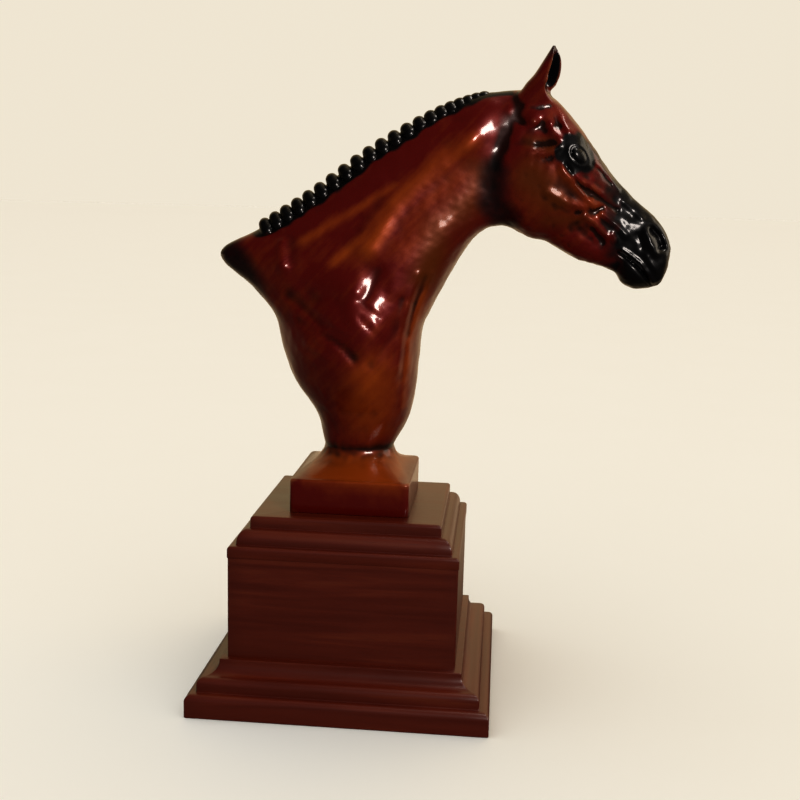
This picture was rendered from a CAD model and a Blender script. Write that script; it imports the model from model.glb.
# %% [markdown]
# # A cast horse's head on a wooden plinth
# This lesson dresses a packed model of a trophy. The bust is one bronze casting: a square foot, a neck with a
# plaited mane and a head. Three moulded boards of stained wood carry it. The packed model is loaded first, because
# every surface below is worked out in its frame: X is the way the horse looks, Z is up, and the origin is the
# middle of the plinth's underside.

# %% Load the packed model
import math

import bpy
import numpy as np
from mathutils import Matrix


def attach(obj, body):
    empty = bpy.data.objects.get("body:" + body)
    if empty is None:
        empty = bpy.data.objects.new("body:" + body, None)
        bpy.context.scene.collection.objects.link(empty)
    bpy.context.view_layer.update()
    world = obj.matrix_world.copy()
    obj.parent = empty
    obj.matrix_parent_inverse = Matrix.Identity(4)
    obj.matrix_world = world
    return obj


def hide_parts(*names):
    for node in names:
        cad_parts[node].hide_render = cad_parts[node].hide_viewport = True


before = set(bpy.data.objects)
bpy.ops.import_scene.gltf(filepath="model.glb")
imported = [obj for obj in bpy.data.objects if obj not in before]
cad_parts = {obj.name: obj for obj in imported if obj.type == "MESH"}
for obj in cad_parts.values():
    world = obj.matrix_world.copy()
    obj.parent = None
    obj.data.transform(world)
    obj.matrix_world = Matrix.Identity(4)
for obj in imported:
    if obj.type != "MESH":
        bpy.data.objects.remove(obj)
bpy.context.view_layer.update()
MM = 0.001
print("nodes:", sorted(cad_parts))

# %% [markdown]
# ## The camera
# A camera can be placed by eye, but then nothing lines up. Here its place and turn come from the plinth: the
# corners of its boards are right angles of known size, so they fix one place and one lens.

# %% Place the camera
CAMERA_PLACE = (0.08732, -0.69207, 0.30545)
CAMERA_TURN = (79.85, -1.423, 5.292)
CAMERA_LENS = 50.54

camera_data = bpy.data.cameras.new("camera")
camera_data.sensor_width = 36
camera_data.lens = CAMERA_LENS
camera = bpy.data.objects.new("camera", camera_data)
camera.location = CAMERA_PLACE
camera.rotation_euler = [math.radians(turn) for turn in CAMERA_TURN]
bpy.context.scene.collection.objects.link(camera)
bpy.context.scene.camera = camera
print("camera lens", CAMERA_LENS, "mm")

# %% [markdown]
# ## From arrays to meshes
# A surface here is an array of points with rows and columns. The columns close into a ring, the rows run from one
# end to the other, and each end closes on its middle point. Blender could build the same thing face by face, but
# whole arrays are quicker and read like the formula.


# %% A ring surface as a mesh
def ring_faces(rows, columns):
    """Quads between neighbouring rows and columns, the last column joined to the first, and a fan at each end."""
    row, column = np.meshgrid(np.arange(rows - 1), np.arange(columns), indexing="ij")
    after = (column + 1) % columns
    quads = np.stack([row * columns + column, row * columns + after,
                      (row + 1) * columns + after, (row + 1) * columns + column], axis=-1).reshape(-1, 4)
    first = np.arange(columns)
    second = (first + 1) % columns
    start, end = rows * columns, rows * columns + 1
    last = (rows - 1) * columns
    start_fan = np.stack([second, first, np.full(columns, start)], axis=-1)
    end_fan = np.stack([last + first, last + second, np.full(columns, end)], axis=-1)
    return quads, np.concatenate([start_fan, end_fan])


def enclosed_volume(points, triangles):
    """Sum of the signed tetrahedra between the origin and each triangle."""
    a, b, c = (points[triangles[:, i]] for i in range(3))
    return np.einsum("ij,ij->i", a, np.cross(b, c)).sum() / 6


def ring_solid(name, grids):
    """One object from closed ring surfaces, arrays of rows x columns x 3 in millimetres.

    A surface whose enclosed volume comes out negative has its faces turned round."""
    points, faces, count = [], [], 0
    for grid in grids:
        rows, columns, _ = grid.shape
        ring = np.concatenate([grid.reshape(-1, 3), grid[:1].mean(axis=1), grid[-1:].mean(axis=1)])
        quads, fans = ring_faces(rows, columns)
        triangles = np.concatenate([quads[:, [0, 1, 2]], quads[:, [0, 2, 3]], fans])
        if enclosed_volume(ring, triangles) < 0:
            quads, fans = quads[:, ::-1], fans[:, ::-1]
        points.append(ring)
        faces += (quads + count).tolist() + (fans + count).tolist()
        count += len(ring)
    mesh = bpy.data.meshes.new(name)
    mesh.from_pydata(np.concatenate(points) * MM, [], faces)
    mesh.polygons.foreach_set("use_smooth", np.ones(len(mesh.polygons), bool))
    piece = bpy.data.objects.new(name, mesh)
    bpy.context.scene.collection.objects.link(piece)
    return piece


def signed_power(value, power):
    """The power of the size, with the sign kept."""
    return np.sign(value) * np.abs(value) ** power


print("a ring surface of 3 rows and 4 columns has", sum(len(faces) for faces in ring_faces(3, 4)), "faces")

# %% [markdown]
# ## The bust's sections
# A sculptor would carve this head, and Blender has brushes for that. A script can instead do what a shipbuilder
# does and set up stations. The whole casting, from foot to lips, is one row of sections. Each section runs from the
# back line (stem, withers, crest, forehead, nose) to the front line (breast, throat, jaw, chin), and has a half
# thickness and a lean that makes it thinner towards the back. A smooth curve through the stations gives every
# section between them.

# %% The stations
# back x, back z, front x, front z, half thickness, lean, squareness
STATIONS = np.array([
    (-20.4, 153, 23.0, 153, 20.0, 0.00, 2.0),  # stem
    (-26.0, 173, 32.5, 172, 25.0, 0.05, 2.1),
    (-39.8, 193, 36.0, 190, 30.5, 0.10, 2.2),  # breast
    (-47.5, 213, 37.5, 207, 33.5, 0.18, 2.3),
    (-52.8, 232.5, 39.0, 226, 34.5, 0.28, 2.3),  # point of the shoulder
    (-66.8, 249, 44.0, 239, 33.5, 0.38, 2.3),
    (-88.0, 270, 50.0, 251, 31.5, 0.45, 2.3),  # tip of the withers
    (-62.0, 286, 60.0, 270, 28.2, 0.42, 2.3),  # foot of the mane
    (-30.0, 307, 68.0, 282, 25.0, 0.35, 2.3),
    (5.0, 333.5, 76.0, 289, 21.5, 0.25, 2.3),  # middle of the crest
    (40.0, 355, 82.0, 290.8, 19.3, 0.16, 2.3),
    (66.0, 366.5, 86.0, 291.2, 17.8, 0.08, 2.4),
    (86.0, 370.2, 89.5, 290.4, 17.6, 0.02, 2.5),  # throat
    (102.0, 370.2, 92.8, 289, 18.6, 0.02, 2.6),
    (113.0, 367, 97.0, 287, 19.6, 0.00, 2.7),  # between the ears
    (121.0, 359.5, 103.0, 284.4, 20.4, -0.06, 2.7),
    (130.0, 349, 112.0, 282.6, 20.5, -0.16, 2.7),  # forehead and cheek
    (139.5, 336.5, 121.5, 277.5, 18.5, -0.14, 2.6),
    (149.5, 323, 133.0, 271.8, 15.5, -0.05, 2.5),  # bridge of the nose
    (161.0, 311.2, 145.0, 268.8, 12.6, 0.02, 2.5),
    (172.0, 302.6, 154.0, 265.5, 11.6, 0.00, 2.4),  # in front of the nostrils
    (181.0, 293, 158.2, 259.5, 12.2, -0.05, 2.4),
    (186.6, 282, 165.0, 256.2, 11.4, -0.10, 2.3),  # nostrils and chin
    (186.0, 270, 173.5, 256, 8.5, -0.10, 2.2),
    (183.5, 261.5, 180.0, 257.6, 4.5, 0.00, 2.0),  # lips
])


def through(stations, u):
    """Catmull-Rom curve: cubics between stations, whose slope at each is half the step between its neighbours."""
    padded = np.vstack([2 * stations[0] - stations[1], stations, 2 * stations[-1] - stations[-2]])
    place = np.clip(u, 0, 1) * (len(stations) - 1)
    index = np.minimum(place.astype(int), len(stations) - 2)
    t = (place - index)[:, None]
    a, b, c, d = (padded[index + i] for i in range(4))
    return (2 * b + (c - a) * t + (2 * a - 5 * b + 4 * c - d) * t**2 + (3 * b - a - 3 * c + d) * t**3) / 2


NECK_ROWS, HEAD_ROWS = 150, 190
HEAD_START = 12 / (len(STATIONS) - 1)


def even_places(start, end, rows):
    """Places along the stations whose sections stand at even distances, measured half way between back and front."""
    dense = np.linspace(start, end, 2000)
    middle = through(STATIONS[:, :2] + STATIONS[:, 2:4], dense) / 2
    back = through(STATIONS[:, :2], dense)
    step = np.linalg.norm(np.diff(middle, axis=0), axis=1) + np.linalg.norm(np.diff(back, axis=0), axis=1)
    length = np.concatenate([[0], np.cumsum(step)])
    return np.interp(np.linspace(0, length[-1], rows), length, dense)


places = np.concatenate([even_places(0, HEAD_START, NECK_ROWS)[:-1], even_places(HEAD_START, 1, HEAD_ROWS)])
upper_sections = through(STATIONS, places)
print("sections of neck and head:", len(places))

# %% [markdown]
# The foot is a block with a bevelled edge, and its top sweeps up into the round stem. It is more sections of the
# same kind, level ones: the squareness falls from a box's to a circle's as the sweep rises.

# %% The foot's sections
FOOT_MIDDLE, FOOT_HALF_X, FOOT_HALF_Y = 0.2, 36.6, 40.0
FOOT_BOTTOM, FOOT_TOP = 116.0, 137.0
FOOT_EDGE = 1.6
STEM_MIDDLE, STEM_HALF_X, STEM_HALF_Y, STEM_BOTTOM = 1.3, 21.7, 20.0, 153.0


def foot_rows():
    """Level sections: upright sides, a quarter round of the edge's radius, then a sweep eased as 1 - (1 - rise)^2."""
    turn = np.linspace(0, np.pi / 2, 7)
    rise = np.linspace(0, 1, 26)[1:]
    edge_inset = FOOT_EDGE * (1 - np.cos(turn))
    edge_z = FOOT_TOP - FOOT_EDGE + FOOT_EDGE * np.sin(turn)
    start = FOOT_EDGE / (FOOT_HALF_X - STEM_HALF_X)
    share = 1 - (1 - start) * (1 - rise) ** 2
    sides_z = np.array([FOOT_BOTTOM, FOOT_BOTTOM + 0.5, 122, 128, 133])
    z = np.concatenate([sides_z, edge_z, FOOT_TOP + (STEM_BOTTOM - FOOT_TOP) * rise])
    inset = np.concatenate([[0.4], np.zeros(4), edge_inset, np.zeros(25)])
    blend = np.concatenate([np.zeros(12), share])
    half_x = FOOT_HALF_X + (STEM_HALF_X - FOOT_HALF_X) * blend - inset
    half_y = FOOT_HALF_Y + (STEM_HALF_Y - FOOT_HALF_Y) * blend - inset
    middle = FOOT_MIDDLE + (STEM_MIDDLE - FOOT_MIDDLE) * blend
    square = 2 / (0.07 + 0.93 * blend)
    return np.stack([middle - half_x, z, middle + half_x, z, half_y, np.zeros_like(z), square], axis=1)


sections = np.concatenate([foot_rows()[:-1], upper_sections])
print("sections of the whole casting:", len(sections))

# %% [markdown]
# ## The modelling in the sides
# Muscles, veins, the cheek and the lips are low forms on the two sides of the sections. One formula does for nearly
# all of them: a bell of the distance to a line drawn in the side view. A positive height is a ridge and a negative
# one is a groove, so the list below reads as an anatomy of the head.

# %% Ridges and grooves
# radius, height, then the line's points (x, z)
NECK_FORMS = [
    (11, 1.4, (-35, 284), (68, 350)),  # muscle under the crest
    (7, 2.0, (66, 339), (45, 325), (25, 305), (8, 277)),  # long neck muscle
    (4, 0.8, (20, 301), (8, 277)),
    (8.0, 2.2, (74, 361), (69, 350), (63, 339)),  # side of the poll
    (12, -1.4, (78, 312), (77, 303)),  # hollow of the throat
    (4, -2.2, (41, 252), (33, 226)),
    (23, 5.8, (-4, 222), (4, 211)),  # swollen end of the long muscle
    (4, 1.2, (0, 262), (2, 252)),
    (5, 1.0, (13, 244), (15, 228)),
    (2.6, -0.9, (15, 264), (8, 248)),
    (1.6, -0.6, (4, 246), (16, 236)),
    (1.6, -0.6, (5, 236), (17, 224)),
    (4, -2.4, (-40, 247), (-20, 231), (2, 212)),  # creases above the shoulder
    (2.2, -1.0, (-34, 233), (-14, 219)),
    (1.8, 0.9, (-22, 223), (-6, 216)),
    (1.8, 0.8, (-28, 219), (-15, 212)),
    (1.3, 0.7, (-18, 229), (-4, 221)),
    (1.3, 0.7, (-12, 233), (0, 226)),
    (1.3, 0.6, (-34, 214), (-22, 207)),
    (1.3, -0.7, (-20, 225.5), (-6, 218.5)),
    (4, -1.3, (12, 209), (24, 226), (28, 246)),
    (15, 2.6, (-26, 214), (6, 193)),  # shoulder
    (2.6, 2.8, (-46, 278), (-43.5, 264)),  # edge of the shoulder blade
    (8, 1.6, (-52, 270), (-50, 262)),
    (7, -2.0, (-35, 272), (-24, 246)),
    (2.0, 1.6, (38, 262), (33, 246), (29, 226), (27.5, 204)),  # strings of the breast
    (1.7, 1.3, (46, 262), (38.5, 243), (33.5, 222), (31.5, 200), (29, 176)),
    (2.0, -1.4, (42, 260), (36, 243), (31, 222), (29.5, 198)),
    (6, 2.2, (25, 204), (22, 172)),  # breast
    (2.2, 1.4, (35, 192), (33.5, 178)),
    (2.0, -1.2, (38, 197), (33, 199)),
]
HEAD_FORMS = [
    (3.2, 0.6, (97, 352), (90, 341), (85, 327)),  # back edge of the jaw
    (5.0, -1.6, (92, 355), (84, 337)),  # groove behind it
    (3.0, 2.8, (101.5, 356), (102, 352)),  # forms below the ear
    (2.3, 1.8, (97, 360), (96, 357)),
    (2.6, 1.3, (90, 362), (89, 358)),
    (2.2, 1.8, (107, 358), (112, 352)),
    (2.6, -1.5, (94, 357), (95, 351)),
    (3.2, -1.7, (106, 349), (108, 346)),
    (3.2, -2.2, (114, 354), (116, 350)),  # temple
    (2.6, 1.9, (114, 346), (116, 342)),
    (2.2, 1.8, (118, 352), (122, 347.5)),  # brow
    (1.9, 1.4, (100, 333.5), (110, 334), (117, 337)),  # cheekbone's hind end
    (2.2, -1.4, (104, 338.5), (114, 340)),
    (1.8, -1.0, (103, 329.8), (112, 330.4)),
    (9, 2.4, (124, 341), (130, 333)),  # rim of the eye socket
    (1.9, 1.5, (119, 325), (126, 317), (132, 311), (139, 304.5)),  # veins and crest of the face
    (2.0, 1.4, (126, 321), (134, 316.5), (142, 311.5)),
    (2.7, 1.5, (111, 312), (120, 306.5), (134, 302)),
    (1.4, -1.1, (121, 327), (129, 316.5), (136, 310)),
    (1.7, -1.5, (135, 314), (145, 306.5), (153, 302)),
    (1.7, -1.4, (129, 300.5), (139, 301), (144, 303)),
    (2.2, 1.6, (134, 298.5), (141, 294), (148, 286.5)),
    (2.0, 1.3, (144, 300), (152, 294), (159, 287.5)),
    (1.8, 1.1, (151, 288), (153, 285)),
    (1.5, -0.9, (139, 291), (146, 283)),
    (5, -1.8, (129, 292), (143, 283)),  # in front of the cheek
    (1.5, 1.1, (139, 329), (147, 321), (153.5, 314.5)),  # edge of the nose bone
    (1.3, -0.9, (141, 325.5), (149, 317)),
    (4, -1.5, (151, 308), (162, 300)),  # flank of the nose
    (2.2, 0.9, (157, 307), (168, 298)),
    (2.8, 2.2, (171.5, 290), (173.5, 283.5), (177, 278.5)),  # wing of the nostril
    (2.2, -4.6, (174.6, 291), (178.6, 287.6), (181, 282)),  # nostril
    (1.4, -1.4, (180.6, 281), (178.4, 279.4)),
    (1.6, -0.9, (166, 288), (169, 281)),
    (1.5, 1.0, (157.5, 279), (163, 275.6), (168.6, 271.2), (172.6, 266), (177, 260.4)),  # edge of the upper lip
    (1.1, -2.2, (155.5, 277.5), (162, 273.4), (167.6, 268.8), (172, 263.4), (176.6, 257.4)),  # mouth
    (2.6, 1.2, (160, 270), (166, 265), (170, 260)),  # lower lip
    (5.5, 1.0, (162, 262), (166, 260)),  # chin
    (3, -1.2, (155, 268), (156, 264)),
    (1.8, 0.9, (172, 275), (178, 267)),  # upper lip
]


def distance_to_line(x, z, points):
    """Shortest distance from every (x, z) to the straight pieces between the points."""
    nearest = np.full(x.shape, np.inf)
    for (x0, z0), (x1, z1) in zip(points[:-1], points[1:]):
        share = ((x - x0) * (x1 - x0) + (z - z0) * (z1 - z0)) / ((x1 - x0) ** 2 + (z1 - z0) ** 2)
        share = np.clip(share, 0, 1)
        nearest = np.minimum(nearest, np.hypot(x - x0 - share * (x1 - x0), z - z0 - share * (z1 - z0)))
    return nearest


def line_forms(x, z, forms):
    """Sum of the bells height * exp(-(distance / radius)^2)."""
    return sum(height * np.exp(-((distance_to_line(x, z, points) / radius) ** 2))
               for radius, height, *points in forms)


print("forms in the sides:", len(NECK_FORMS) + len(HEAD_FORMS))

# %% [markdown]
# Three forms need formulas of their own. The cheek is a round plate with a firm rim behind and a soft one in front.
# The eye is a ball between two lids: inside an ellipse it is a dome, on the ellipse a fine groove, and just outside
# it a raised ring. And on the end of the neck's long muscle the clay was pressed flat, which catches the light.

# %% Cheek, eye and the flat on the neck
CHEEK = {"middle": (104.5, 313.5), "radii": (21.5, 24.5), "tilt": 0.3, "height": 3.8}
EYE = {"middle": (128.6, 332.8), "radii": (5.2, 3.4), "tilt": -0.75, "dome": 1.7, "lid": 0.6}
FLAT = {"middle": (10, 243), "radii": (14, 28), "tilt": 0.3, "slope": (-0.17, -0.1), "hollow": 0.006}


def oval(x, z, form):
    """Distance from an oval's middle in units of its radii, after turning the side view by its tilt."""
    dx, dz = x - form["middle"][0], z - form["middle"][1]
    along = dx * math.cos(form["tilt"]) + dz * math.sin(form["tilt"])
    across = dz * math.cos(form["tilt"]) - dx * math.sin(form["tilt"])
    return np.hypot(along / form["radii"][0], across / form["radii"][1])


def cheek_form(x, z):
    """A plate, height / (1 + exp((oval - 1) * firmness)), that is firm behind its middle and soft in front."""
    behind = 1 / (1 + np.exp((x - CHEEK["middle"][0]) / 5))
    firmness = 4 + 8 * behind
    return CHEEK["height"] / (1 + np.exp((oval(x, z, CHEEK) - 1) * firmness))


def eye_form(x, z):
    """A dome of sqrt(1 - oval^2), a groove on the oval and a ring of lids round it."""
    ring = oval(x, z, EYE)
    dome = EYE["dome"] * np.sqrt(np.clip(1 - ring**2, 0, None))
    lids = EYE["lid"] * np.exp(-(((ring - 1.4) / 0.26) ** 2))
    groove = 0.4 * np.exp(-(((ring - 1.04) / 0.12) ** 2))
    return dome + lids - groove


def flat_form(x, z):
    """Slope times the offset from an oval's middle, plus hollow times the level offset squared, faded by the oval."""
    dx, dz = x - FLAT["middle"][0], z - FLAT["middle"][1]
    tilted = FLAT["slope"][0] * dx + FLAT["slope"][1] * dz + FLAT["hollow"] * dx**2
    return tilted * np.exp(-(oval(x, z, FLAT) ** 4))


print("heights in mm: cheek", CHEEK["height"], "eye", EYE["dome"], "lids", EYE["lid"])

# %% [markdown]
# A cast bronze keeps the marks of the clay it was modelled in. A sum of long sine waves in seeded directions gives
# soft, uneven planes that break the highlights, as a thumb does, and it is the same in every run. They are pushed
# along the surface's normals, more on the head than on the neck, and not at all on the planed foot.


# %% Thumb marks and the body
def thumb_marks(points, seed, waves, shortest, longest):
    """Mean of sine waves with random directions, lengths between shortest and longest and random starts."""
    random = np.random.default_rng(seed)
    direction = random.normal(size=(waves, 3))
    direction /= np.linalg.norm(direction, axis=1, keepdims=True)
    wave = direction * (2 * np.pi / random.uniform(shortest, longest, (waves, 1)))
    start = random.uniform(0, 2 * np.pi, waves)
    return np.sin(points @ wave.T + start).sum(axis=-1) / math.sqrt(waves)


def grid_normals(grid):
    """Cross product of the steps along the rows and round the ring, made one unit long."""
    along = np.gradient(grid, axis=0)
    round_ring = (np.roll(grid, -1, axis=1) - np.roll(grid, 1, axis=1)) / 2
    normal = np.cross(along, round_ring)
    return normal / np.maximum(np.linalg.norm(normal, axis=2, keepdims=True), 1e-9)


RING = 208


def body_grid(rows):
    """Each section as a squared-off oval: across the section cos^(2/n), out of it sin^(2/n) times the thickness."""
    back_x, back_z, front_x, front_z, half, lean, square = (column[:, None] for column in rows.T)
    angle = (np.arange(RING) + 0.5) * 2 * np.pi / RING
    across = signed_power(np.cos(angle)[None, :], 2 / square)
    side = signed_power(np.sin(angle)[None, :], 2 / square)
    share = (1 - across) / 2
    x = back_x + (front_x - back_x) * share
    z = back_z + (front_z - back_z) * share
    forms = line_forms(x, z, NECK_FORMS + HEAD_FORMS) + cheek_form(x, z) + eye_form(x, z) + flat_form(x, z)
    y = -side * (half * (1 - lean * across) + forms)
    grid = np.stack([x, y, z], axis=2)
    soft = np.clip((z - FOOT_TOP) / 12, 0, 1) * (0.12 + 0.08 * np.clip((x - 85) / 15, 0, 1))
    marks = thumb_marks(grid, 5, 26, 9, 22) + 0.5 * thumb_marks(grid, 6, 26, 4, 8)
    return grid + grid_normals(grid) * (soft * marks)[:, :, None]


bust = ring_solid("horse_casting", [body_grid(sections)])
print("body of the casting:", len(bust.data.polygons), "faces")

# %% [markdown]
# ## Ears
# An ear is a leaf rolled into a cup. A flat leaf could be bent with a modifier, but a ring surface does it at once:
# each section is an oval whose front is pushed in, so the same surface is the back of the ear, its rim and its
# hollow.

# %% Two ears
# middle line x, z, distance from the middle plane, half depth, half width, share of the hollow
EAR = np.array([
    (100.0, 352, 4.0, 12.0, 6.0, 0.0),
    (101.8, 362, 8.6, 12.4, 7.6, 0.0),
    (105.0, 371, 11.2, 11.4, 7.6, 0.55),
    (109.2, 379.5, 13.0, 8.2, 6.8, 1.0),
    (111.4, 387.5, 13.4, 4.9, 4.8, 0.9),
    (111.6, 394.8, 12.0, 0.7, 0.8, 0.0),
])
EAR_TURN = math.radians(38)


def ear_grid(side):
    """Level ovals. The front, at angle 0, is pushed in by a bell of the angle, and the ear turns out as it rises."""
    x, z, y, deep, wide, hollow = (column[:, None] for column in through(EAR, np.linspace(0, 1, 56)).T)
    angle = np.linspace(-np.pi, np.pi, 56, endpoint=False)[None, :]
    pushed = hollow * 1.5 * np.exp(-((angle / 0.72) ** 4))
    forward = deep * (np.cos(angle) - pushed)
    sideways = wide * np.sin(angle)
    turn = EAR_TURN * np.clip((z - 362) / 16, 0, 1)
    grid_x = x + forward * np.cos(turn) - sideways * np.sin(turn)
    grid_y = side * (y + forward * np.sin(turn) + sideways * np.cos(turn))
    return np.stack([grid_x, grid_y, np.broadcast_to(z, grid_x.shape)], axis=2)


ears = ring_solid("ears", [ear_grid(-1), ear_grid(1)])
print("ears:", len(ears.data.polygons), "faces")

# %% [markdown]
# ## Plaits
# The mane is sewn into a row of buttons that lie over to the near side. Each is a ball stretched to three radii,
# with two shallow waists where the hair is wound. They stand square to the crest and shrink towards the poll.

# %% A row of plaits
PLAIT_COUNT = 21
PLAIT_FIRST, PLAIT_LAST = 7.1, 11.25
PLAIT_ALONG, PLAIT_WIDE, PLAIT_HIGH = 4.9, 6.4, 7.8
PLAIT_SIDE, PLAIT_SINK, PLAIT_SHRINK = -5.6, 3.4, 0.36

plait_share = np.linspace(0, 1, PLAIT_COUNT)
plait_place = (PLAIT_FIRST + (PLAIT_LAST - PLAIT_FIRST) * plait_share) / (len(STATIONS) - 1)
crest = through(STATIONS[:, :2], plait_place)
crest_slope = through(STATIONS[:, :2], plait_place + 1e-4) - crest
crest_slope /= np.linalg.norm(crest_slope, axis=1, keepdims=True)
plait_size = 1 - PLAIT_SHRINK * plait_share**2
plait_middle = crest + np.stack([crest_slope[:, 1], -crest_slope[:, 0]], axis=1) * PLAIT_SINK


def plait_grid(index):
    """Ball of latitude and longitude, its level radii waved by cos(6 * latitude), set along the crest and leaning."""
    latitude = np.linspace(-np.pi / 2, np.pi / 2, 21)[1:-1, None]
    longitude = (np.arange(18) * 2 * np.pi / 18)[None, :]
    waist = 1 + 0.07 * np.cos(6 * latitude) * np.cos(latitude)
    size = plait_size[index]
    along = PLAIT_ALONG * waist * np.cos(latitude) * np.cos(longitude)
    sideways = PLAIT_WIDE * size * waist * np.cos(latitude) * np.sin(longitude)
    upright = PLAIT_HIGH * size * np.sin(latitude) + 0 * longitude
    lean = 0.35 * upright
    slope_x, slope_z = crest_slope[index]
    x = plait_middle[index, 0] + along * slope_x - upright * slope_z
    z = plait_middle[index, 1] + along * slope_z + upright * slope_x
    return np.stack([x, PLAIT_SIDE * size + sideways + lean, z], axis=2)


odd_plaits = ring_solid("odd_plaits", [plait_grid(i) for i in range(0, PLAIT_COUNT, 2)])
even_plaits = ring_solid("even_plaits", [plait_grid(i) for i in range(1, PLAIT_COUNT, 2)])
print("plaits:", PLAIT_COUNT, "pitch", np.round(np.linalg.norm(np.diff(crest, axis=0), axis=1).mean(), 2), "mm")

# %% [markdown]
# ## One casting
# Foot, neck, head, ears and plaits were poured as one piece, so they become one closed mesh. Boolean modifiers join
# them and drop the faces that end up inside. The result replaces the packed solid of the bust.


# %% Join the parts of the casting
def join_into(piece, others):
    """Union with each of the others in turn, kept as the piece's own mesh."""
    for other in others:
        union = piece.modifiers.new(other.name, "BOOLEAN")
        union.operation = "UNION"
        union.solver = "MANIFOLD"
        union.object = other
    evaluated = piece.evaluated_get(bpy.context.evaluated_depsgraph_get())
    joined = bpy.data.meshes.new_from_object(evaluated)
    joined.calc_loop_triangles()
    piece.modifiers.clear()
    piece.data = joined
    for other in others:
        bpy.data.objects.remove(other)


join_into(bust, [ears, odd_plaits, even_plaits])
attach(bust, "root")
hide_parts("horse_bust")
print("casting:", len(bust.data.vertices), "points and", len(bust.data.loop_triangles), "triangles")

# %% [markdown]
# ## Soft joins
# A union leaves a hard crease. Before a casting is poured, such a join is rubbed down in the wax, here where the
# ears rise from the skull and where the neck folds into the withers. Blender's smooth brush would do it by hand. The
# same rule in numbers moves each point a part of the way to the mean of its neighbours, and a mask says where.


# %% Rub the joins down
def smooth_step(value, low, high):
    """0 below low, 1 above high, and 3t^2 - 2t^3 between."""
    t = np.clip((value - low) / (high - low), 0, 1)
    return t * t * (3 - 2 * t)


def numbers(items, name, width, kind=np.float32):
    """One property of all points or edges as an array of rows."""
    values = np.empty(len(items) * width, kind)
    items.foreach_get(name, values)
    return values.reshape(-1, width)


def neighbour_mean(values, edges, count):
    """Mean over the points at the other end of each point's edges."""
    total = np.stack([np.bincount(edges[:, 0], column[edges[:, 1]], count)
                      + np.bincount(edges[:, 1], column[edges[:, 0]], count) for column in values.T], axis=1)
    return total / np.maximum(np.bincount(edges.ravel(), minlength=count), 1)[:, None]


points = numbers(bust.data.vertices, "co", 3).astype(float) / MM
edges = numbers(bust.data.edges, "vertices", 2, np.int32)
before = points.copy()
px, py, pz = before.T
ear_root = smooth_step(pz, 351, 357) * (1 - smooth_step(pz, 369, 375))
ear_root *= smooth_step(px, 86, 92) * (1 - smooth_step(px, 116, 122))
withers_fold = smooth_step(16 - distance_to_line(px, pz, [(-66, 268), (-10, 262)]), 0, 12)
withers_fold *= smooth_step(distance_to_line(px, pz, [(-46, 278), (-43.5, 264)]), 4, 9)
softness = 0.6 * np.maximum(ear_root, withers_fold)[:, None]
for _ in range(40):
    points += (neighbour_mean(points, edges, len(points)) - points) * softness
bust.data.vertices.foreach_set("co", (points * MM).ravel())
bust.data.set_sharp_from_angle(angle=math.radians(55))
bust.data.update()
print("rubbed down by up to", round(float(np.linalg.norm(points - before, axis=1).max()), 2), "mm")

# %% [markdown]
# ## Hollows and ridges
# Dark wax stays in every hollow, and hands rub the ridges bright. Blender can show this as pointiness, but only in
# a render. Worked out on the mesh it can be kept: a point that lies below the mean of its neighbours is in a hollow.
# Such numbers are stored on the points as attributes, which materials can read.


# %% Find the hollows
def hollow_of(points, normals, edges):
    """How far each point lies under the mean of its neighbours, along its normal, smoothed and in 1/mm."""
    count = len(points)
    lengths = np.linalg.norm(points[edges[:, 0]] - points[edges[:, 1]], axis=1)
    spread = np.bincount(edges[:, 0], lengths, count) + np.bincount(edges[:, 1], lengths, count)
    spread /= np.maximum(np.bincount(edges.ravel(), minlength=count), 1)
    depth = ((neighbour_mean(points, edges, count) - points) * normals).sum(axis=1) / np.maximum(spread, 0.2) ** 2
    for _ in range(6):
        depth = 0.5 * depth + 0.5 * neighbour_mean(depth[:, None], edges, count)[:, 0]
    return depth


def keep(mesh, name, values):
    """Stores one number per point under a name."""
    mesh.attributes.new(name, "FLOAT", "POINT").data.foreach_set("value", values.astype(np.float32))


normals = numbers(bust.data.vertices, "normal", 3)
px, py, pz = points.T
wobble = thumb_marks(points, 11, 18, 6, 14)
hollow = hollow_of(points, normals, edges)
behind_jaw = distance_to_line(px, pz, [(91, 361), (84.5, 346), (81, 328)])
behind_jaw = smooth_step(3.2 - behind_jaw + 0.8 * wobble, -3.5, 1.5)
keep(bust.data, "hollow", np.clip(hollow * 9 + behind_jaw * 0.35, 0, 1))
keep(bust.data, "ridge", np.clip(-hollow * 4, 0, 1))
print("share of points in hollows:", round(float((hollow > 0.03).mean()), 3))

# %% [markdown]
# ## Black paint
# Mane, muzzle, eyes, the insides and tips of the ears, the cut end of the withers and the shade behind the jaw are
# black. They could be painted with a brush on the mesh. Here each is a mask from the places of the points, with a
# wavering edge, and the greatest of them is kept.

# %% Where the black lies
EYE_PATCH = {"middle": (127.2, 333.4), "radii": (13.4, 11), "tilt": -0.8}
WITHERS_PATCH = {"middle": (-80, 266), "radii": (34, 14), "tilt": -0.75}

crest_line = [tuple(row) for row in through(STATIONS[:, :2], np.linspace(7, 12.6, 60) / (len(STATIONS) - 1))]
from_crest = distance_to_line(px, pz, crest_line)
near_side = smooth_step(-py, -6, 3)
mane_depth = np.interp(px, [-64, -40, 20, 60, 92], [5.5, 8, 8, 5, 2.5])
mane = smooth_step(mane_depth * (0.35 + 0.65 * near_side) - from_crest + 0.8 * wobble, -1.5, 1.0)
mane = np.maximum(mane, smooth_step(2.0 - from_crest, -0.5, 0.5)) * smooth_step(px, -66, -60)
mane *= 1 - smooth_step(px + 0.8 * (pz - 368), 88, 93)

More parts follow.
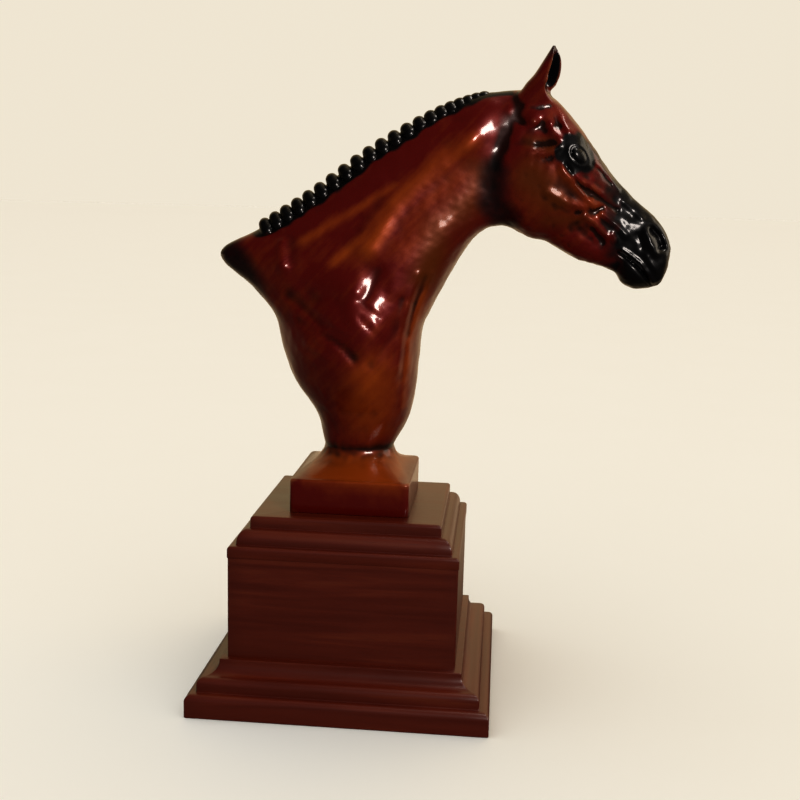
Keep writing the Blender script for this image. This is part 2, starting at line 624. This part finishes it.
muzzle = smooth_step(px + 0.12 * (pz - 290) + 2.5 * wobble, 137, 160)
eye_patch = smooth_step(1 + 0.08 * wobble - oval(px, pz, EYE_PATCH), -0.12, 0.16)
eye_patch *= smooth_step(np.abs(py), 12, 15)
withers = smooth_step(1 - oval(px, pz, WITHERS_PATCH), -0.3, 0.5) * 0.8
jaw_shade = smooth_step(9 - distance_to_line(px, pz, [(80, 322), (79, 305), (88, 294)]), -6, 6) * 0.75
nose_edge = np.exp(-((distance_to_line(px, pz, [(134, 340), (146, 326), (158, 313)]) / 3) ** 2)) * 0.75

ear_x, ear_y, ear_deep = (np.interp(pz, EAR[:, 1], EAR[:, column]) for column in (0, 2, 3))
facing_out = ((px - ear_x) * normals[:, 0] + (py - np.sign(py) * ear_y) * normals[:, 1]) / ear_deep
ear_inside = smooth_step(-facing_out, -0.05, 0.15) * smooth_step(pz, 367, 372) * smooth_step(px, 94, 98)
ear_tip = np.maximum(smooth_step(pz, 380, 394) * 0.8, ear_inside * 0.95)

black = np.maximum.reduce([mane, muzzle, eye_patch, ear_tip, withers, jaw_shade, nose_edge])
keep(bust.data, "black", np.clip(black, 0, 1))
print("black share of the points:", round(float(black.mean()), 3))

# %% [markdown]
# ## Warm streaks and brown patches
# Patina is brushed on hot, so it lies in streaks: orange along the muscles and on the foot, a duller brown on cheek
# and throat. Noise alone would put them anywhere. Lines in the side view, as for the ridges, put them where the
# brush went. The last attribute marks the modelled part, since the foot has no brush strokes.

# %% Where the patina is warm or brown
# radius, strength, then the line's points (x, z)
WARM_STREAKS = [
    (7, 0.9, (66, 339), (45, 325), (25, 305), (8, 277)),  # long neck muscle
    (14, 0.5, (60, 330), (30, 280)),
    (3, 0.75, (-33, 279), (22, 313)),  # under the crest
    (3.5, 0.8, (-12, 268), (20, 295)),
    (14, 0.5, (104, 318), (106, 312)),  # cheek
    (17, 0.9, (12, 196), (12, 176)),  # breast
    (8, 1.7, (-20, 142), (24, 142)),  # foot
    (6, 0.5, (118, 322), (140, 303)),  # face
    (2.5, 0.7, (44, 262), (33, 222), (30, 180)),  # strings of the breast
]
BROWN_PATCHES = [
    (13, 0.9, (102, 320), (115, 309)),  # cheek
    (9, 0.8, (72, 322), (66, 304)),  # throat
    (10, 0.9, (66, 305), (50, 291), (42, 262)),
    (5, 0.8, (100, 340), (112, 338)),  # behind the eye
    (6, 0.6, (130, 296), (112, 296)),  # jaw
]


def painted_lines(lines):
    """Greatest of the bells strength * exp(-(distance / radius)^2) of all lines."""
    return np.max([strength * np.exp(-((distance_to_line(px, pz, line) / radius) ** 2))
                   for radius, strength, *line in lines], axis=0)


keep(bust.data, "warm", painted_lines(WARM_STREAKS))
keep(bust.data, "brown", painted_lines(BROWN_PATCHES))
keep(bust.data, "modelled", smooth_step(pz, 148, 175))
print("attributes:", [kept.name for kept in bust.data.attributes if kept.data_type == "FLOAT"])

# %% [markdown]
# ## The plinth's boards
# A moulding is planed along a board and mitred at the corners. In Blender a bevelled curve could do it. Here the
# planed profile, pairs of inset and height, is carried round a rectangle whose corners are only just rounded. The
# distance along the board and across the profile become the UV map, so the grain can run along each side.

# %% Profiles
SLAB_HALF_X, SLAB_HALF_Y = 90.0, 85.0
CORNER = 0.8


def quarter(start, end, hollow, steps=10):
    """Quarter arc between two places [inset, height]: a hollow one starts level, a round one upright."""
    turn = np.linspace(0, np.pi / 2, steps + 1)
    level, upright = (np.sin(turn), 1 - np.cos(turn)) if hollow else (1 - np.cos(turn), np.sin(turn))
    start, end = np.array(start, float), np.array(end, float)
    return start + (end - start) * np.stack([level, upright], axis=1)


def profile(*pieces):
    """Points and arcs one after the other, without repeats."""
    line = np.concatenate([np.atleast_2d(np.array(piece, float)) for piece in pieces])
    fresh = np.concatenate([[True], np.linalg.norm(np.diff(line, axis=0), axis=1) > 1e-6])
    return line[fresh]


BASE_PROFILE = profile((0.5, 0), (0, 0.5), quarter((0, 10), (4, 14), False), (5.6, 14), (6, 14.4),
                       quarter((6, 18.5), (10, 22.5), False), quarter((10, 22.5), (17.3, 29.5), True),
                       quarter((17.3, 30.6), (17.7, 31), False, 3))
BLOCK_PROFILE = profile((21.4, 31), (21.4, 50), (21.4, 72), (21.4, 93))
CAP_PROFILE = profile((21.2, 93), (21, 93.3), quarter((21, 98), (23, 100), False, 6), (25.2, 100), (25.5, 100.4),
                      quarter((25.5, 101), (31.5, 109), False), (32.2, 109), (32.5, 109.4),
                      quarter((32.5, 114), (34.5, 116), False, 6))
print("profile points:", len(BASE_PROFILE), len(BLOCK_PROFILE), len(CAP_PROFILE))

# %% [markdown]
# The rectangle's path has four straight sides, each cut into short lengths, and four small arcs. A point of the path
# keeps the corner it belongs to, so an inset moves it towards the middle along both axes, which is what a mitre does.


# %% Carry a profile round
def rectangle_path(side_steps=14, arc_steps=5):
    """For each corner: signs of x and y, the arc's cosine and sine, and points along the side to the next corner."""
    signs, arcs, along = [], [], []
    for sx, sy, start in ((1, -1, -90), (1, 1, 0), (-1, 1, 90), (-1, -1, 180)):
        turn = np.radians(start + np.linspace(0, 90, arc_steps))
        arcs.append(np.stack([np.cos(turn), np.sin(turn)], axis=1))
        signs.append(np.tile([sx, sy], (arc_steps, 1)))
        along.append(np.zeros(arc_steps))
        share = np.linspace(0, 1, side_steps + 1)[1:-1]
        arcs.append(np.tile([np.cos(turn[-1]), np.sin(turn[-1])], (len(share), 1)))
        signs.append(np.tile([sx, sy], (len(share), 1)))
        along.append(share)
    return np.concatenate(signs), np.concatenate(arcs), np.concatenate(along)


def moulded_board(name, board_profile, grain_start):
    """Places sign * (half size - inset - corner) + corner * arc, moved along each side by its share of the length."""
    signs, arcs, along = rectangle_path()
    half = np.array([SLAB_HALF_X, SLAB_HALF_Y]) - board_profile[:, :1] - CORNER
    flat = signs[None] * half[:, None] + CORNER * arcs[None]
    length = 2 * half[:, None] * np.abs(np.stack([arcs[:, 1], arcs[:, 0]], axis=1))[None]
    ahead = np.stack([-arcs[:, 1], arcs[:, 0]], axis=1)[None]
    flat = flat + np.round(ahead) * length * along[None, :, None]
    rows, columns = flat.shape[:2]
    height = np.broadcast_to(board_profile[:, 1:2], (rows, columns))
    grid = np.concatenate([flat, height[:, :, None]], axis=2)
    quads, _ = ring_faces(rows, columns)
    faces = quads.tolist() + [list(range(columns))[::-1], list(range((rows - 1) * columns, rows * columns))]
    mesh = bpy.data.meshes.new(name)
    mesh.from_pydata(grid.reshape(-1, 3) * MM, [], faces)
    round_board = np.concatenate([[0], np.cumsum(np.linalg.norm(np.diff(flat[0], axis=0), axis=1))])
    round_board = np.append(round_board, round_board[-1] + np.linalg.norm(flat[0, 0] - flat[0, -1]))
    across = np.concatenate([[0], np.cumsum(np.linalg.norm(np.diff(board_profile, axis=0), axis=1))]) + grain_start
    row, column = quads // columns, quads % columns
    wrapped = np.where((column == 0) & (np.arange(4) % 3 > 0)[None, :], columns, column)
    grain = np.stack([round_board[wrapped], across[row]], axis=-1).reshape(-1, 2)
    ends = np.concatenate([grid[0, ::-1, :2], grid[-1, :, :2]]) + [0, grain_start]
    mesh.uv_layers.new(name="grain").data.foreach_set("uv", (np.concatenate([grain, ends]) * MM).ravel())
    corner = (along == 0).astype(float)
    keep(mesh, "mitre", np.tile(corner, rows))
    piece = bpy.data.objects.new(name, mesh)
    bpy.context.scene.collection.objects.link(piece)
    mesh.polygons.foreach_set("use_smooth", np.ones(len(mesh.polygons), bool))
    mesh.set_sharp_from_angle(angle=math.radians(35))
    return piece


boards = {
    "plinth_base": moulded_board("base_board", BASE_PROFILE, 0),
    "plinth_block": moulded_board("middle_block", BLOCK_PROFILE, 300),
    "plinth_cap": moulded_board("cap_board", CAP_PROFILE, 600),
}
for node_name, board in boards.items():
    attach(board, "root")
    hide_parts(node_name)
    print(board.name, len(board.data.polygons), "faces")

# %% [markdown]
# ## Materials as expressions
# A material in Blender is a graph of nodes. Wiring it by hand hides the formula, so one small class wraps a socket
# and lets Python's operators add the Math nodes. Every other kind of node goes through one method, which sets the
# node's settings first, because some of them change its sockets.


# %% Sockets that can be added and multiplied
class Wire:
    """An output socket that arithmetic can be done with."""

    def __init__(self, finish, socket):
        self.finish = finish
        self.socket = socket

    def _math(self, operation, first, second):
        return self.finish.node("ShaderNodeMath", {"operation": operation}, {0: first, 1: second})

    def __add__(self, other):
        return self._math("ADD", self, other)

    def __sub__(self, other):
        return self._math("SUBTRACT", self, other)

    def __rsub__(self, other):
        return self._math("SUBTRACT", other, self)

    def __mul__(self, other):
        return self._math("MULTIPLY", self, other)

    __radd__ = __add__
    __rmul__ = __mul__


class Finish:
    """A node tree, emptied, with one method that adds any node."""

    def __init__(self, owner):
        owner.use_nodes = True
        self.tree = owner.node_tree
        self.tree.nodes.clear()

    def node(self, kind, settings=None, inputs=None, output=0):
        """Adds a node, applies its settings, then fills its sockets with values or wires."""
        added = self.tree.nodes.new(kind)
        for name, value in (settings or {}).items():
            setattr(added, name, value)
        for name, value in (inputs or {}).items():
            if isinstance(value, Wire):
                self.tree.links.new(value.socket, added.inputs[name])
            else:
                added.inputs[name].default_value = value
        return Wire(self, added.outputs[output]) if len(added.outputs) else None

    def kept(self, name):
        """A number stored on the points of the mesh."""
        return self.node("ShaderNodeAttribute", {"attribute_name": name}, output=2)

    def noise(self, place, scale, detail, **more):
        """Fractal noise around 0.5, with so many lumps to the unit of the place."""
        return self.node("ShaderNodeTexNoise", None, {"Vector": place, "Scale": scale, "Detail": detail, **more})

    def clamp(self, value, low, high):
        """Straight line from 0 at low to 1 at high, held there outside."""
        return self.node("ShaderNodeMapRange", {"clamp": True}, {"Value": value, "From Min": low, "From Max": high})

    def mix(self, share, first, second):
        """Colour that is first at share 0 and second at share 1."""
        return self.node("ShaderNodeMix", {"data_type": "RGBA"}, {0: share, 6: first, 7: second}, output=2)


print("operators on a socket:", [name for name in vars(Wire) if name.strip("_") in ("add", "sub", "rsub", "mul")])

# %% [markdown]
# ## Patina
# The bronze is not bare metal. A red-brown patina covers it, black is painted over that, and wax gives a clear, pale
# gloss on top. One Principled shader has all three: a base that is part metal, with a broken red-brown colour, and a
# coat over it. The coat is thinner on the black and on the dull brown patches. A little bump breaks its highlights.

# %% The patina
DEEP_RED = (0.068, 0.0016, 0.0006, 1)
ORANGE_BROWN = (0.17, 0.03, 0.0015, 1)
DULL_BROWN = (0.068, 0.013, 0.0009, 1)
RUBBED = (0.2, 0.07, 0.025, 1)
DARK_WAX = (0.005, 0.0012, 0.0008, 1)
BLACK = (0.002, 0.002, 0.0026, 1)


def patina():
    """Deep red to orange by noise, strokes and streaks; then brown patches, rubbed ridges, dark hollows and black."""
    material = bpy.data.materials.new("red_brown_patina")
    finish = Finish(material)
    place = finish.node("ShaderNodeTexCoord", output=3)
    broad = finish.noise(place, 24, 4, Roughness=0.55)
    mottle = finish.noise(place, 190, 6, Roughness=0.6)
    grit = finish.noise(place, 900, 3)
    down_the_neck = finish.node("ShaderNodeMapping", {"vector_type": "TEXTURE"}, {
        "Vector": place, "Rotation": (0, math.radians(-48), 0), "Scale": (0.04, 0.011, 0.0042)})
    strokes = 0.5 + (finish.noise(down_the_neck, 1, 5) - 0.5) * finish.kept("modelled")
    black, brown = finish.kept("black"), finish.kept("brown")

    warm = finish.clamp(broad * 0.45 + mottle * 0.15 + strokes * 0.34 + finish.kept("warm") * 0.42, 0.48, 0.95)
    ground = finish.mix(warm, DEEP_RED, ORANGE_BROWN)
    ground = finish.mix(finish.clamp(brown + broad * 0.5, 0.3, 1.1), ground, DULL_BROWN)
    ground = finish.mix(finish.clamp(finish.kept("ridge") * mottle, 0.12, 0.6) * 0.55, ground, RUBBED)
    ground = finish.mix(finish.clamp(finish.kept("hollow"), 0.02, 0.4) * 0.9, ground, DARK_WAX)
    colour = finish.mix(finish.clamp(black + mottle * 0.3, 0.3, 1.05), ground, BLACK)
    bump = finish.node("ShaderNodeBump", None, {
        "Strength": 0.25, "Distance": 0.0006, "Height": mottle * 0.5 + strokes * 0.4 + grit * 0.12})
    shader = finish.node("ShaderNodeBsdfPrincipled", None, {
        "Base Color": colour,
        "Metallic": 0.35,
        "Roughness": 0.3 + mottle * 0.16,
        "Specular IOR Level": 0.14,
        "Coat Weight": 0.5 - black * 0.2 - brown * 0.38,
        "Coat Roughness": 0.13,
        "Normal": bump,
    })
    finish.node("ShaderNodeOutputMaterial", None, {"Surface": shader})
    return material


bust.data.materials.clear()
bust.data.materials.append(patina())
print("patina:", len(bust.data.materials[0].node_tree.nodes), "nodes")

# %% [markdown]
# ## Stained wood
# Dark mahogany under satin lacquer. Grain is noise that is stretched along the board: long streaks for the growth
# rings and short dark dashes for the pores, both on the UV map, so that they turn with the board at each mitre.

# %% The wood
STAIN_DARK = (0.04, 0.0034, 0.0004, 1)
STAIN_RED = (0.056, 0.0056, 0.0008, 1)
STAIN_BROWN = (0.085, 0.018, 0.002, 1)


def stained_wood():
    """Dark to red to brown by the streaks; then dark pores and a dark line at each mitre."""
    material = bpy.data.materials.new("mahogany_stain")
    finish = Finish(material)
    grain = finish.node("ShaderNodeUVMap", {"uv_map": "grain"})
    long_grain = finish.node("ShaderNodeMapping", None, {"Vector": grain, "Scale": (7, 130, 1)})
    short_grain = finish.node("ShaderNodeMapping", None, {"Vector": grain, "Scale": (60, 1500, 1)})
    streaks = finish.noise(long_grain, 1, 6, Distortion=0.6)
    pores = finish.clamp(finish.noise(short_grain, 1, 2), 0.6, 0.72)

    stain = finish.mix(finish.clamp(streaks, 0.36, 0.6), STAIN_DARK, STAIN_RED)
    stain = finish.mix(finish.clamp(streaks, 0.55, 0.8) * 0.4, stain, STAIN_BROWN)
    stain = finish.mix(pores * 0.6, stain, STAIN_DARK)
    colour = finish.mix(finish.kept("mitre") * 0.5, stain, STAIN_DARK)
    bump = finish.node("ShaderNodeBump", None, {
        "Strength": 0.25, "Distance": 0.0003, "Height": streaks * 0.4 - pores * 0.5})
    shader = finish.node("ShaderNodeBsdfPrincipled", None, {
        "Base Color": colour,
        "Roughness": 0.3 + streaks * 0.12,
        "Specular IOR Level": 0.3,
        "Coat Weight": 0.25,
        "Coat Roughness": 0.18,
        "Normal": bump,
    })
    finish.node("ShaderNodeOutputMaterial", None, {"Surface": shader})
    return material


wood = stained_wood()
for board in boards.values():
    board.data.materials.append(wood)
print("wood on", len(boards), "boards")

# %% [markdown]
# ## The floor
# A plain pale floor, wide enough to meet the pale surround without a visible edge. Glossy wood and bronze mirror
# it, and a mirrored pale floor would wash their dark colours out. So for mirror rays alone the floor is dim in front
# and tan behind, where the plinth's sides are seen at a slant.

# %% Lay the floor
FLOOR_PALE = (0.94, 0.91, 0.84, 1)
FLOOR_CLOUD = (0.9, 0.86, 0.77, 1)
MIRRORED_IN_FRONT = (0.05, 0.032, 0.014, 1)
MIRRORED_BEHIND = (0.85, 0.64, 0.4, 1)


def pale_floor(half_size=30.0, steps=9):
    """A level square grid of points through the origin."""
    side = np.linspace(-half_size, half_size, steps)
    x, y = np.meshgrid(side, side, indexing="ij")
    corner = (np.arange(steps - 1)[:, None] * steps + np.arange(steps - 1)[None, :]).ravel()
    faces = np.stack([corner, corner + steps, corner + steps + 1, corner + 1], axis=1)
    mesh = bpy.data.meshes.new("floor")
    mesh.from_pydata(np.stack([x, y, 0 * x], axis=2).reshape(-1, 3), [], faces.tolist())
    piece = bpy.data.objects.new("floor", mesh)
    bpy.context.scene.collection.objects.link(piece)
    return piece


def floor_finish():
    """Pale with faint clouds to the eye; to mirror rays a colour that turns from dim to tan with the depth."""
    material = bpy.data.materials.new("pale_floor")
    finish = Finish(material)
    place = finish.node("ShaderNodeTexCoord", output=3)
    depth = finish.node("ShaderNodeSeparateXYZ", None, {0: place}, output=1)
    mirror_ray = finish.node("ShaderNodeLightPath", output=3)
    colour = finish.mix(finish.noise(place, 6, 4) * 0.25, FLOOR_PALE, FLOOR_CLOUD)
    mirrored = finish.mix(finish.clamp(depth, 0.05, 0.5), MIRRORED_IN_FRONT, MIRRORED_BEHIND)
    colour = finish.mix(mirror_ray * 0.97, colour, mirrored)
    shader = finish.node("ShaderNodeBsdfPrincipled", None, {"Base Color": colour, "Roughness": 0.9})
    finish.node("ShaderNodeOutputMaterial", None, {"Surface": shader})
    return material


floor = pale_floor()
floor.data.materials.append(floor_finish())
print("floor:", len(floor.data.polygons), "faces")

# %% [markdown]
# ## Lamps
# Three soft square lamps. The first stands to the right of the camera, a little above the head, and makes the
# broken highlight on the neck's flat and on the poll. The others light what faces up and what faces right. Light
# linking leaves the floor out of them, so it stays evenly pale.


# %% Set up the lamps
def soft_lamp(name, place, aim, size, power, colour):
    """A square lamp at a place, turned so that its -Z axis points from there to the aim."""
    data = bpy.data.lights.new(name, "AREA")
    data.shape = "SQUARE"
    data.size = size
    data.energy = power
    data.color = colour
    lamp = bpy.data.objects.new(name, data)
    way = np.array(aim) - np.array(place)
    lamp.location = place
    lamp.rotation_euler = (math.atan2(math.hypot(way[0], way[1]), -way[2]), 0, math.atan2(-way[0], way[1]))
    lamp.light_linking.receiver_collection = not_lit
    bpy.context.scene.collection.objects.link(lamp)
    return lamp


not_lit = bpy.data.collections.new("not_lit_by_lamps")
not_lit.objects.link(floor)
not_lit.collection_objects[0].light_linking.link_state = "EXCLUDE"

BUST_MIDDLE = (0.04, 0.0, 0.26)
lamps = [
    soft_lamp("lamp_front_right", (0.665, -1.04, 0.726), BUST_MIDDLE, 0.32, 17, (1, 0.91, 0.84)),
    soft_lamp("lamp_above", (0.5, 0.1, 1.6), BUST_MIDDLE, 0.5, 12, (1, 0.93, 0.85)),
    soft_lamp("lamp_right", (1.3, 0.4, 0.7), BUST_MIDDLE, 0.8, 4, (1, 0.92, 0.82)),
]
print("lamps:", [lamp.name for lamp in lamps])

# %% [markdown]
# ## The room
# The surround has three jobs, and the Light Path node tells them apart. What the camera sees is the floor's own
# pale tone. What lights the floor and the pieces is nearly white. What gloss mirrors is a room that is dim on the
# viewer's side and warm and pale behind, so the front keeps its deep colours and the tops shine. The Standard view
# with a lower gamma gives the firm contrast of a printed picture.

# %% Surround the piece with a room
ROOM_SEEN = (0.797, 0.738, 0.628, 1)
ROOM_LIGHT = (0.97, 0.99, 1.0, 1)
ROOM_BEHIND = (0.95, 0.72, 0.4, 1)
ROOM_IN_FRONT = (0.03, 0.021, 0.011, 1)


def pale_room():
    """Mirrored colour by how far a direction points back and up, swapped for one colour by the kind of ray."""
    world = bpy.data.worlds.new("pale_room")
    finish = Finish(world)
    way = finish.node("ShaderNodeTexCoord", output=0)
    dot = {"operation": "DOT_PRODUCT"}
    backwards = finish.node("ShaderNodeVectorMath", dot, {0: way, 1: (0.45, 0.85, -0.1)}, output=1)
    upwards = finish.node("ShaderNodeVectorMath", dot, {0: way, 1: (0, 0, 1)}, output=1)
    share = finish.clamp(backwards, -0.25, 0.6) * (0.25 + finish.clamp(upwards, -0.05, 0.3) * 0.75)
    colour = finish.mix(share, ROOM_IN_FRONT, ROOM_BEHIND)
    colour = finish.mix(finish.node("ShaderNodeLightPath", output=2), colour, ROOM_LIGHT)
    colour = finish.mix(finish.node("ShaderNodeLightPath", output=0), colour, ROOM_SEEN)
    surround = finish.node("ShaderNodeBackground", None, {"Color": colour, "Strength": 1.0})
    finish.node("ShaderNodeOutputWorld", None, {"Surface": surround})
    return world


scene = bpy.context.scene
scene.world = pale_room()
scene.view_settings.view_transform = "Standard"
scene.view_settings.exposure = 0.16
scene.view_settings.gamma = 0.8
print("room:", len(scene.world.node_tree.nodes), "nodes")

# %% [markdown]
# ## Sizes and the end
# The dressed model has to stay the size of the packed one. Both boxes are written out for a look, and the last call
# checks that every piece rides on a body.
